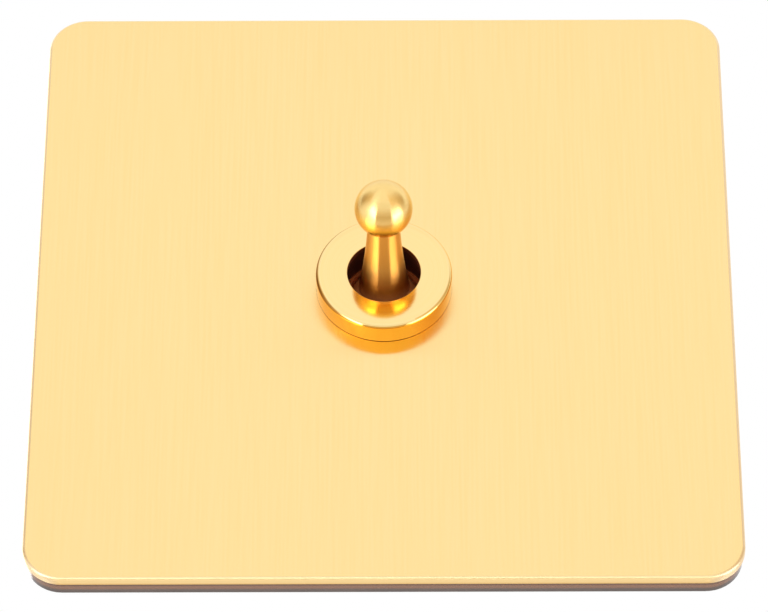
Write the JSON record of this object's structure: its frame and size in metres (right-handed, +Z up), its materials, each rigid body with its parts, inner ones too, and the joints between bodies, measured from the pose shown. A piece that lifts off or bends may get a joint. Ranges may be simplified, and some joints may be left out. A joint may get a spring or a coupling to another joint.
{
  "type": "two-way toggle light switch",
  "caption": "Square satin brass light switch: a toggle lever in a round collar, on a clear backing, with its strap, case and terminals behind.",
  "frame": {"origin": "centre of the wall plane, on the rear face of the mounting strap, midway between the two fixing slots", "axes": "+X right, +Z up, +Y into the wall; the lever stands out along -Y"},
  "size_m": [0.086, 0.0487, 0.086],
  "materials": {
    "satin_brass": "brushed and lacquered sheet brass",
    "polished_brass": "turned and polished brass",
    "clear_plastic": "clear moulded polycarbonate",
    "zinc_steel": "zinc plated pressed steel",
    "machined_brass": "machined brass, bright",
    "screw_steel": "zinc plated steel, turned",
    "spring_steel": "drawn steel wire",
    "urea_white": "moulded urea resin, white",
    "nylon_black": "moulded nylon, black",
    "contact_copper": "pressed copper strip",
    "contact_silver": "silver contact rivet"
  },
  "bodies": {
    "root": {"front_plate": "satin_brass", "collar": "polished_brass", "clear_backing": "clear_plastic", "mounting_strap": "zinc_steel", "switch_frame": "zinc_steel", "lock_washer": "zinc_steel", "bushing": "machined_brass", "hexagon_nut": "machined_brass", "fixed_contacts": "contact_silver", "common_strip": "contact_copper", "upper_strip": "contact_copper", "lower_strip": "contact_copper", "common_terminal": "machined_brass", "upper_terminal": "machined_brass", "lower_terminal": "machined_brass", "terminal_screws": "screw_steel", "case": "urea_white", "terminal_base": "urea_white", "earth_terminal": "machined_brass", "earth_screw": "screw_steel"},
    "lever": {"lever": "polished_brass", "pivot_pin": "screw_steel", "actuator": "nylon_black", "plunger_spring": "spring_steel"},
    "plunger": {"plunger": "machined_brass"},
    "rocker": {"rocker": "contact_copper", "rocker_contacts": "contact_silver"}
  },
  "joints": [
    {"name": "lever_tilt", "type": "hinge", "parent": "root", "child": "lever", "pos_m": [0, 0.00045, 0], "axis": [1, 0, 0], "range_deg": [0, 22]},
    {"name": "rocker_tilt", "type": "hinge", "parent": "root", "child": "rocker", "pos_m": [0, 0.01513, 0], "axis": [1, 0, 0], "range_deg": [-14, 0]},
    {"name": "plunger_slide", "type": "slide", "parent": "lever", "child": "plunger", "axis": [0, -0.9816, 0.1908], "range_m": [0, 0.001], "stiffness_N_per_m": 300, "springref_m": -0.003, "deforming": ["plunger_spring"]}
  ],
  "couplings": [
    {"joint": "rocker_tilt", "follows": "lever_tilt", "ratio": -0.63636}
  ]
}
